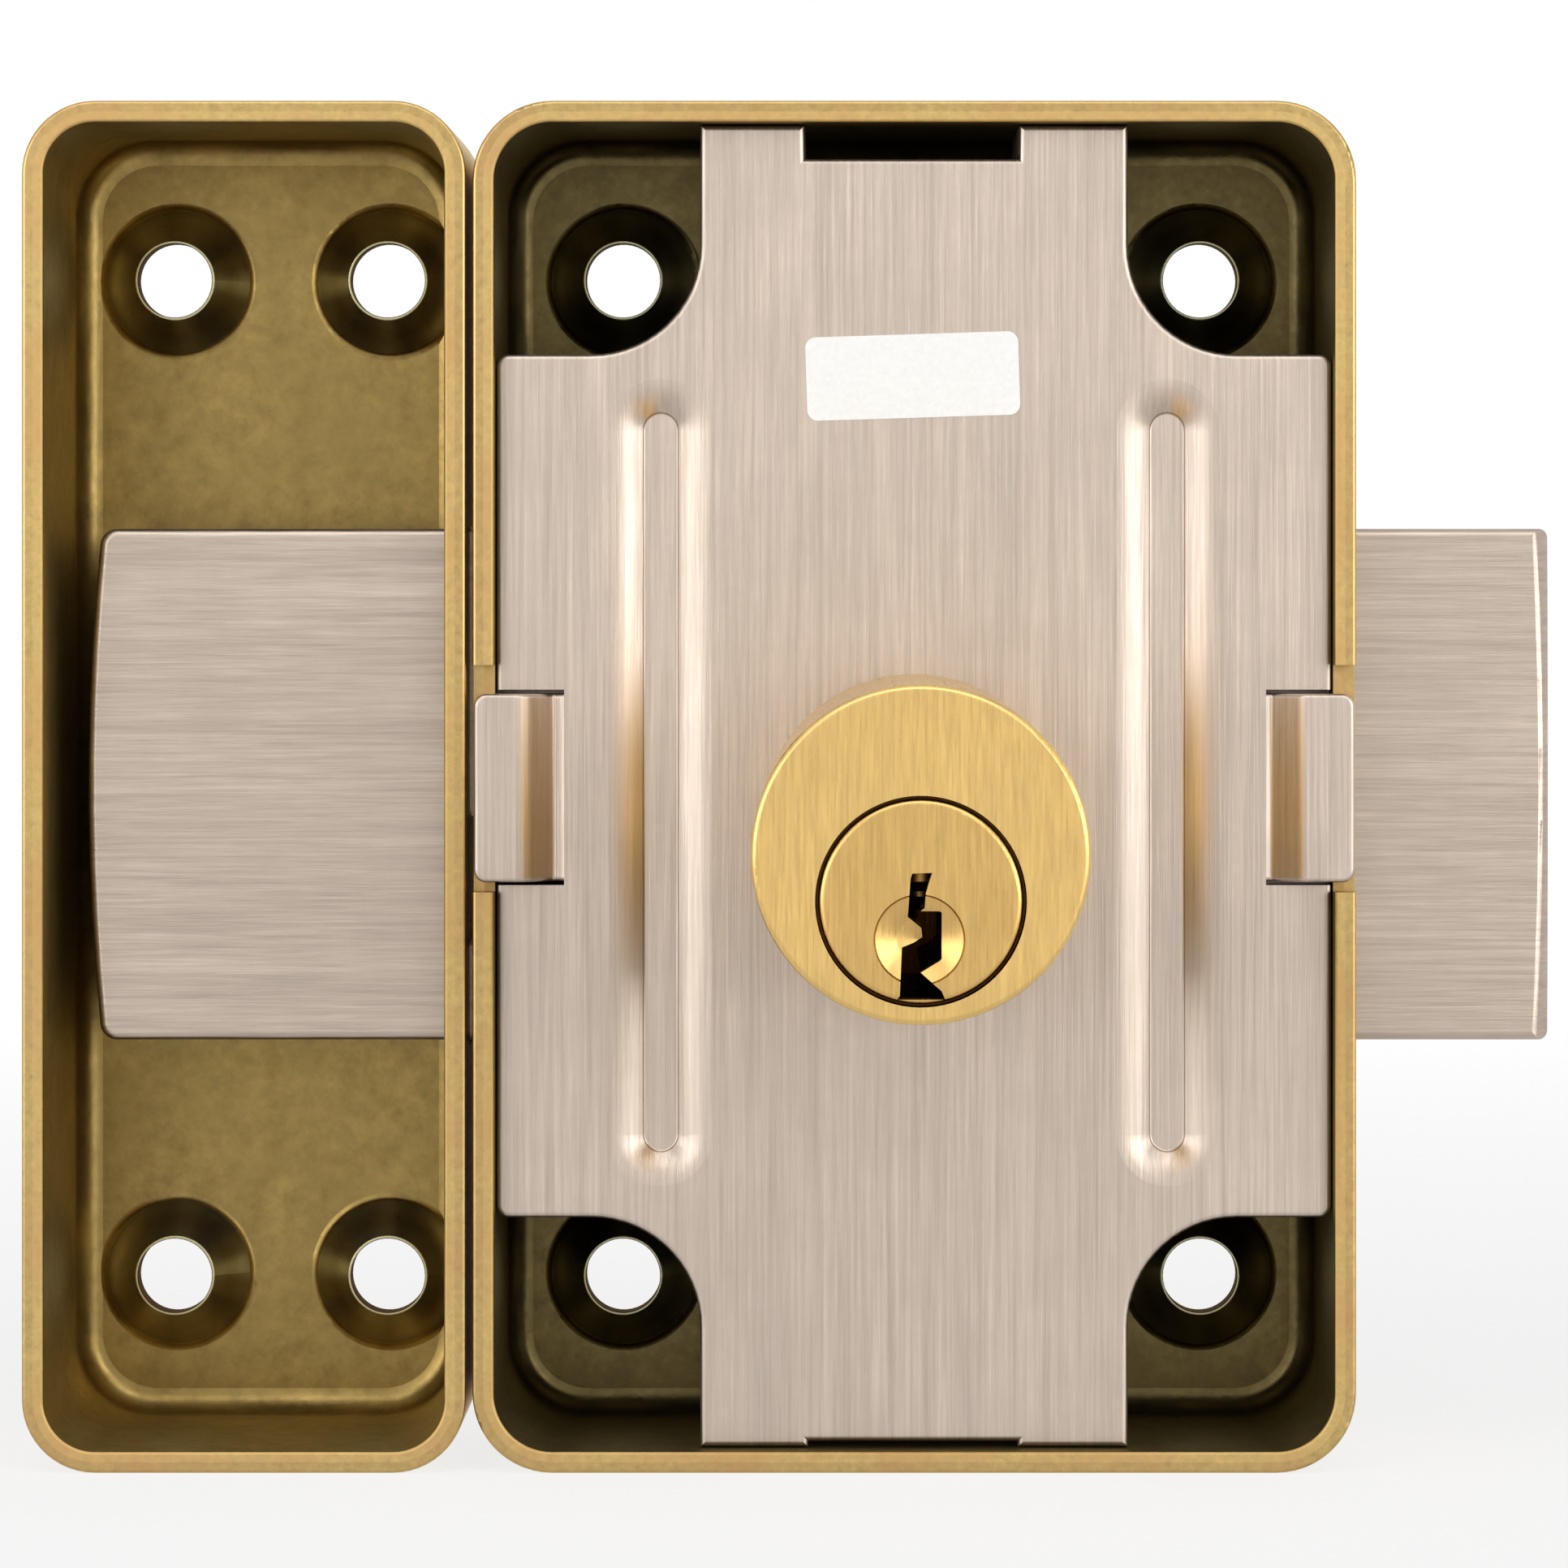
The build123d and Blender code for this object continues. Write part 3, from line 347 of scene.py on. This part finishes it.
class BoxMaker(NodeMaker):
    """Adds the nodes of one drawn box, and knows where a point lies on it."""

    def __init__(self, name, box):
        super().__init__(name)
        self.box = box
        self.x, self.height, self.z = self.axes()
        self.depth = self.outline_depth()
        self.radius = self.screw_radius()

    def outline_depth(self):
        """How far the point lies inside the box's outline."""
        offsets = []
        for axis, value in ((0, self.x), (2, self.z)):
            middle = (self.box.low[axis] + self.box.high[axis]) / 2
            reach = (self.box.high[axis] - self.box.low[axis]) / 2 - self.box.corner
            offsets.append(self.beyond(value, middle, reach))
        round_part = self.length([self.math("MAXIMUM", offset, 0.0) for offset in offsets])
        straight_part = self.math("MINIMUM", self.math("MAXIMUM", *offsets), 0.0)
        return self.math("SUBTRACT", self.box.corner, self.math("ADD", round_part, straight_part))

    def screw_radius(self):
        """How far the point lies from the nearest screw's axis."""
        middle = self.box.screws["pos_m"]
        sizes = self.box.screws["dims"]
        across = self.beyond(self.x, middle[0], sizes["spacing_x_mm"] / 2 * MM)
        upright = self.beyond(self.z, middle[2], sizes["spacing_y_mm"] / 2 * MM)
        return self.length([across, upright])

    def inner(self):
        """1 on the sheet's inner side, else 0."""
        walls = self.math("GREATER_THAN", self.depth, SHEET / 2)
        return self.math("MULTIPLY", walls, self.math("LESS_THAN", self.height, self.box.high[1] - SHEET / 2))

    def countersunk(self):
        """1 in the countersinks, else 0."""
        slope = self.math("SUBTRACT", self.height, self.radius)
        sink = self.math("GREATER_THAN", slope, self.box.high[1] - SINK_REACH)
        return self.math("MULTIPLY", sink, self.math("LESS_THAN", self.radius, SINK_RADIUS))

    def cut(self):
        """1 on the rim, in the windows and in the countersinks, else 0."""
        edge = self.math("LESS_THAN", self.height, self.box.high[1] - OUTER_EDGE)
        edge = self.math("MULTIPLY", edge, self.between(self.depth, SKIN, SHEET - SKIN))
        return self.math("MAXIMUM", edge, self.countersunk())

    def bored(self):
        """1 on the walls of the screw holes, else 0."""
        return self.math("LESS_THAN", self.radius, self.box.screws["dims"]["hole_r_mm"] * MM + SKIN)

    def pressed(self):
        """How grey the dimples are, in faint rings round the screws, 0 outside them."""
        wave = self.math("SINE", self.math("MULTIPLY", self.radius, RING_WAVES))
        grey = self.math("ADD", DIMPLE_GREY, self.math("MULTIPLY", wave, RING_GREY))
        return self.math("MULTIPLY", grey, self.math("LESS_THAN", self.radius, DIMPLE_RADIUS))


def drawn_inside(maker, clouds, colour, dimple):
    """The inside of a box: its own olive-bronze tone, darkened as painted shade, with greyer dimples."""
    grains = maker.even_noise(520, detail=5.0, roughness=0.7)
    shade = maker.shades(grains, colour, darkest=0.72, lightest=1.28)
    shade = maker.cloud(clouds, shade, colour, share=0.6, darkest=0.85)
    return maker.blend(maker.pressed(), shade, dimple)


def drawn_cut(maker, mottle, clouds, settings):
    """The bright shade of a box's cut edges, with warmer patches."""
    shade = maker.shades(mottle, settings.rim, darkest=0.82, lightest=1.18)
    return maker.blend(maker.spread(clouds, 0, 0.7, start=0.42, end=0.68), shade, settings.patch)


def drawn_roughness(maker, mottle, inner, hole):
    """A box's roughness, more on its inner walls and most in its screw holes."""
    wall = maker.math("MULTIPLY", inner, maker.spread(maker.depth, 1, 0, start=SHEET, end=2 * SHEET))
    extra = maker.math("MULTIPLY", wall, WALL_ROUGHNESS)
    extra = maker.math("ADD", extra, maker.math("MULTIPLY", hole, HOLE_ROUGHNESS))
    return maker.math("ADD", maker.spread(mottle, *DRAWN_ROUGHNESS), extra)


def drawn_brass(name, box, settings, shaded_inside_colour):
    """Brass sheet: bright where it is cut, satin outside, olive-bronze within and darkened there as painted
    shade.
    """
    maker = BoxMaker(name, box)
    mottle = maker.even_noise(1400, detail=6.0, roughness=0.75)
    clouds = maker.even_noise(120)
    inner = maker.inner()
    hole = maker.bored()
    outside = maker.shades(maker.noise(PRESS_DRAG), settings.outside, darkest=0.95, lightest=1.05)
    # the inside's colour carries painted shade
    shade = maker.blend(inner, outside, drawn_inside(maker, clouds, shaded_inside_colour, settings.dimple))
    shade = maker.blend(maker.cut(), shade, drawn_cut(maker, mottle, clouds, settings))
    # painted shade on the walls of the screw holes
    shade = maker.blend(hole, shade, settings.hollow_shade)
    rough = drawn_roughness(maker, mottle, inner, hole)
    maker.shader.inputs["Specular Tint"].default_value = opaque(settings.glance)
    return maker.finish(shade, rough, maker.bump(mottle, DRAWN_RELIEF, settings.grain))


def brushed_steel(name, colour, grain, brushing, roughness):
    """Steel brushed along the axis that has the fewest features."""
    maker = NodeMaker(name)
    streaks = maker.noise(brushing, detail=4.0, roughness=0.65)
    bands = maker.noise(tuple(BAND_COUNT * count for count in brushing))
    hairs = maker.noise(tuple(HAIR_COUNT * count for count in brushing), detail=2.0)
    clouds = maker.even_noise(90, detail=4.0, roughness=0.7)
    streaked = maker.shades(streaks, colour, darkest=1 - 0.45 * grain, lightest=1 + 0.36 * grain)
    banded = maker.shades(bands, colour, darkest=1 - 0.34 * grain, lightest=1 + 0.26 * grain)
    shade = maker.blend(BAND_SHARE, streaked, banded)
    shade = maker.cloud(clouds, shade, colour, share=0.8 * grain, darkest=0.82)
    return maker.finish(shade, maker.spread(hairs, *roughness), maker.bump(streaks, BRUSHED_RELIEF, grain))


def machined(name, colour, roughness):
    """Plain turned or pressed steel with a faint unevenness."""
    maker = NodeMaker(name)
    mottle = maker.even_noise(900, detail=4.0)
    shade = maker.shades(mottle, colour, darkest=0.86, lightest=1.1)
    normal = maker.bump(mottle, MATT_RELIEF, MATT_STRENGTH)
    return maker.finish(shade, maker.spread(mottle, *roughness), normal)


def behind_face(maker, height):
    """1 behind the edge of the barrel's face that has no painted shade, else 0."""
    return maker.math("GREATER_THAN", height, BARREL_FACE_Y + UNSHADED_RIM)


def plug_radius(maker, x, z):
    """How far a point lies from the plug's axis."""
    return maker.length([maker.math("SUBTRACT", x, PLUG_X), maker.math("SUBTRACT", z, PLUG_Z)])


def bore_shade_mask(maker):
    """1 on the wall of the barrel's bore, where shade is painted, else 0."""
    x, height, z = maker.axes()
    bore = maker.math("LESS_THAN", plug_radius(maker, x, z), PLUG_RADIUS + BORE_MARGIN)
    return maker.math("MULTIPLY", behind_face(maker, height), bore)


def plug_shade_mask(maker):
    """1 where shade is painted on the plug's side and deep in its keyway, else less."""
    x, height, z = maker.axes()
    side = maker.math("GREATER_THAN", plug_radius(maker, x, z), PLUG_RADIUS - SIDE_MARGIN)
    side = maker.math("MULTIPLY", behind_face(maker, height), side)
    # painted shade that grows darker with depth down the keyway
    keyway = maker.spread(height, 0, 1, start=BARREL_FACE_Y + KEYWAY_UNSHADED, end=BARREL_FACE_Y + KEYWAY_DARK)
    return maker.math("MAXIMUM", keyway, side)


def turned_brass(name, settings, colour, shade_mask=None):
    """Brass with fine lathe rings round Y, and painted shade where a given function says."""
    maker = NodeMaker(name)
    wipes = maker.noise(FACE_WIPES)
    clouds = maker.even_noise(160, detail=2.0)
    grain = settings.grain
    shade = maker.shades(wipes, colour, darkest=1 - 0.3 * grain, lightest=1 + 0.25 * grain)
    shade = maker.cloud(clouds, shade, colour, share=0.45, darkest=0.88)
    if shade_mask is not None:
        # painted shade in the bore, on the plug's side and in the keyway
        shade = maker.blend(shade_mask(maker), shade, settings.hollow_shade)
    normal = maker.bump(maker.noise(LATHE_RINGS), TURNED_RELIEF, TURNED_STRENGTH)
    return maker.finish(shade, maker.spread(wipes, *TURNED_ROUGHNESS), normal)


def paper(name, darkest, lightest):
    """Smooth paper, mottled by its fibres between two colours."""
    maker = NodeMaker(name)
    fibre = maker.even_noise(2500, detail=4.0)
    shade = maker.blend(maker.spread(fibre, 0, 1), darkest, lightest)
    normal = maker.bump(fibre, MATT_RELIEF, MATT_STRENGTH)
    return maker.finish(shade, maker.spread(fibre, *PAPER_ROUGHNESS), normal, metallic=0.0)


def dress(node_names, material):
    """Gives CAD nodes their material."""
    for node_name in node_names:
        mesh = frame["nodes"][node_name].data
        mesh.materials.clear()
        mesh.materials.append(material)


def row_of(kind):
    """The nodes of one kind that stand in a row, such as the pin springs."""
    return [name for name in frame["nodes"] if name.startswith(kind)]


class RIMLOCK_OT_drawn_boxes(bpy.types.Operator):
    """Gives the case and the strike their drawn brass finish"""

    bl_idname = "rimlock.drawn_boxes"
    bl_label = "Drawn boxes"

    def execute(self, context):
        settings = context.scene.rimlock_brass
        dress(["lock_case"], drawn_brass("case_brass", CASE, settings, settings.case_inside_shaded))
        dress(["strike_box"], drawn_brass("strike_brass", STRIKE, settings, settings.strike_inside_shaded))
        return {"FINISHED"}


class RIMLOCK_OT_back_plate(bpy.types.Operator):
    """Gives the back plate its upright brushing"""

    bl_idname = "rimlock.back_plate"
    bl_label = "Back plate"

    def execute(self, context):
        settings = context.scene.rimlock_steel
        steel = brushed_steel("plate_steel", settings.plate, settings.grain, PLATE_BRUSHING, PLATE_ROUGHNESS)
        dress(["back_plate"], steel)
        return {"FINISHED"}


class RIMLOCK_OT_bolt(bpy.types.Operator):
    """Gives the bolt its lengthwise brushing"""

    bl_idname = "rimlock.bolt"
    bl_label = "Bolt"

    def execute(self, context):
        settings = context.scene.rimlock_steel
        steel = brushed_steel("bolt_steel", settings.bolt, settings.grain, BOLT_BRUSHING, BOLT_ROUGHNESS)
        dress(["bolt"], steel)
        return {"FINISHED"}


class RIMLOCK_OT_cylinder(bpy.types.Operator):
    """Gives the outer cylinder, its plug, its pins and the thumb turn their turned brass"""

    bl_idname = "rimlock.cylinder"
    bl_label = "Cylinder and thumb turn"

    def execute(self, context):
        settings = context.scene.rimlock_brass
        brass = turned_brass("cylinder_brass", settings, settings.turned)
        dress(["chamber_cover", "spindle_bush", "knob"], brass)
        dress(["cylinder_body"], turned_brass("barrel_brass", settings, settings.turned, bore_shade_mask))
        dress(["cylinder_plug"], turned_brass("plug_brass", settings, settings.plug, plug_shade_mask))
        # painted shade: the pins are darkened, as they lie in shade inside the cylinder
        shaded_pin_colour = tone(settings.turned, SHADED_PINS)
        dress(row_of("key_pin") + row_of("driver_pin"), turned_brass("pin_brass", settings, shaded_pin_colour))
        return {"FINISHED"}


class RIMLOCK_OT_works(bpy.types.Operator):
    """Gives the guide, the drive, the springs and the small fixings their steel"""

    bl_idname = "rimlock.works"
    bl_label = "Inner works"

    def execute(self, context):
        settings = context.scene.rimlock_steel
        zinc = machined("zinc_steel", settings.zinc, ZINC_ROUGHNESS)
        dress(["bolt_guide", "guide_posts", "detent_rivets"], zinc)
        bright = machined("spring_steel", settings.spring, SPRING_ROUGHNESS)
        dress(["detent_spring", "plug_circlip", "spindle_circlip", *row_of("pin_spring")], bright)
        drive = machined("drive_steel", settings.zinc, DRIVE_ROUGHNESS)
        dress(["drive_cog", "spindle", "tailpiece", "cylinder_screws", "knob_set_screw"], drive)
        return {"FINISHED"}


class RIMLOCK_OT_label(bpy.types.Operator):
    """Gives the bare label its white paper"""

    bl_idname = "rimlock.label"
    bl_label = "Label"

    def execute(self, context):
        dress(["label_sticker"], paper("label_paper", LABEL_SHADE, LABEL_WHITE))
        return {"FINISHED"}


def make_world(strength):
    """A room that is white to the eye and in reflections, and softer on matt surfaces."""
    world = bpy.data.worlds.new("pale_room")
    bpy.context.scene.world = world
    world.use_nodes = True
    tree = world.node_tree
    background = tree.nodes["Background"]
    background.inputs["Color"].default_value = (1, 1, 1, 1)
    path = tree.nodes.new("ShaderNodeLightPath")
    seen = path.outputs["Is Camera Ray"]
    for name in ("Is Glossy Ray", "Is Transmission Ray"):
        either = tree.nodes.new("ShaderNodeMath")
        either.operation = "MAXIMUM"
        tree.links.new(seen, either.inputs[0])
        tree.links.new(path.outputs[name], either.inputs[1])
        seen = either.outputs[0]
    level = tree.nodes.new("ShaderNodeMapRange")
    level.inputs["To Min"].default_value = strength
    level.inputs["To Max"].default_value = 1.0
    tree.links.new(seen, level.inputs["Value"])
    tree.links.new(level.outputs["Result"], background.inputs["Strength"])


def make_lamp(name, place, size, power):
    """A soft box that points at the lock."""
    lamp = bpy.data.lights.new(name, "AREA")
    lamp.shape = "RECTANGLE"
    lamp.size, lamp.size_y = size
    lamp.energy = power
    holder = bpy.data.objects.new(name, lamp)
    holder.location = place
    holder.rotation_euler = (AIM - Vector(place)).to_track_quat("-Z", "Y").to_euler()
    bpy.context.scene.collection.objects.link(holder)


def floor_material(colour):
    """Pale floor that keeps a soft shadow near the lock and fades to white."""
    maker = NodeMaker("pale_floor")
    glow = maker.add("ShaderNodeEmission")
    mixer = maker.add("ShaderNodeMixShader")
    path = maker.add("ShaderNodeLightPath")
    reach = maker.add("ShaderNodeVectorMath", operation="LENGTH")
    maker.join(maker.place(), reach.inputs[0])
    fade = maker.spread(reach.outputs["Value"], FLOOR_GLOW, 1.0, start=FLOOR_NEAR, end=FLOOR_FAR)
    seen = maker.math("MAXIMUM", path.outputs["Is Camera Ray"], path.outputs["Is Glossy Ray"])
    seen = maker.math("MAXIMUM", seen, path.outputs["Is Transmission Ray"])
    maker.join(maker.math("MULTIPLY", fade, seen), mixer.inputs[0])
    maker.shader.inputs["Base Color"].default_value = opaque(colour)
    maker.shader.inputs["Roughness"].default_value = FLOOR_ROUGHNESS
    maker.join(maker.shader.outputs[0], mixer.inputs[1])
    maker.join(glow.outputs[0], mixer.inputs[2])
    maker.join(mixer.outputs[0], maker.tree.nodes["Material Output"].inputs["Surface"])
    return maker.material


def make_floor(colour):
    mesh = bpy.data.meshes.new("floor")
    signs = ((-1, -1), (1, -1), (1, 1), (-1, 1))
    corners = [(x * FLOOR_REACH, y * FLOOR_REACH, 0) for x, y in signs]
    mesh.from_pydata(corners, [], [(0, 1, 2, 3)])
    mesh.materials.append(floor_material(colour))
    floor = bpy.data.objects.new("floor", mesh)
    floor.location.z = CAD_BOX[0][2] - FLOOR_GAP
    bpy.context.scene.collection.objects.link(floor)


def make_camera(distance):
    """A camera that frames the lock as the photograph does."""
    lens = bpy.data.cameras.new("camera")
    lens.sensor_width = SENSOR
    frame_width = PHOTO_SIDE / RIM_SCALE * MM
    lens.lens = SENSOR * distance / frame_width
    lens.shift_x = (PHOTO_SIDE / 2 - SIGHT_PIXEL[0]) / PHOTO_SIDE
    lens.shift_y = (SIGHT_PIXEL[1] - PHOTO_SIDE / 2) / PHOTO_SIDE
    lens.clip_start = NEAR_CLIP
    camera = bpy.data.objects.new("camera", lens)
    camera.location = (EYE_X, -distance, EYE_Z)
    camera.rotation_euler = (math.pi / 2, 0, 0)
    bpy.context.scene.collection.objects.link(camera)
    bpy.context.scene.camera = camera


class RIMLOCK_OT_stage(bpy.types.Operator):
    """Sets the camera, the lamps, the floor and the pale world"""

    bl_idname = "rimlock.stage"
    bl_label = "Stage"

    def execute(self, context):
        settings = context.scene.rimlock_stage
        context.scene.view_settings.view_transform = "Standard"
        make_camera(settings.distance)
        make_floor(settings.floor)
        make_world(settings.world)
        make_lamp("top_lamp", TOP_PLACE, TOP_SIZE, settings.top_light)
        make_lamp("left_lamp", LEFT_PLACE, SIDE_SIZE, settings.left_light)
        make_lamp("right_lamp", RIGHT_PLACE, SIDE_SIZE, settings.right_light)
        return {"FINISHED"}


STEPS = (
    RIMLOCK_OT_drawn_boxes,
    RIMLOCK_OT_back_plate,
    RIMLOCK_OT_bolt,
    RIMLOCK_OT_cylinder,
    RIMLOCK_OT_works,
    RIMLOCK_OT_label,
    RIMLOCK_OT_stage,
)

SETTINGS = {
    "rimlock_brass": BrassSettings,
    "rimlock_steel": SteelSettings,
    "rimlock_stage": StageSettings,
}


class RIMLOCK_PT_panel(bpy.types.Panel):
    """Lists the lock's finishes and its stage"""

    bl_label = "Rim Lock"
    bl_idname = "RIMLOCK_PT_panel"
    bl_space_type = "VIEW_3D"
    bl_region_type = "UI"
    bl_category = "Rim Lock"

    def draw(self, context):
        for step in STEPS:
            self.layout.operator(step.bl_idname)
        for group_name, group in SETTINGS.items():
            box = self.layout.box()
            for name in group.__annotations__:
                box.prop(getattr(context.scene, group_name), name)


def register():
    for group in SETTINGS.values():
        bpy.utils.register_class(group)
    for name, group in SETTINGS.items():
        setattr(bpy.types.Scene, name, PointerProperty(type=group))
    for step in (*STEPS, RIMLOCK_PT_panel):
        bpy.utils.register_class(step)


def unregister():
    for step in reversed((*STEPS, RIMLOCK_PT_panel)):
        bpy.utils.unregister_class(step)
    for name in SETTINGS:
        delattr(bpy.types.Scene, name)
    for group in reversed(SETTINGS.values()):
        bpy.utils.unregister_class(group)


def main():
    register()
    for step in STEPS:
        group, name = step.bl_idname.split(".")
        getattr(getattr(bpy.ops, group), name)()


if __name__ == "__main__":
    main()
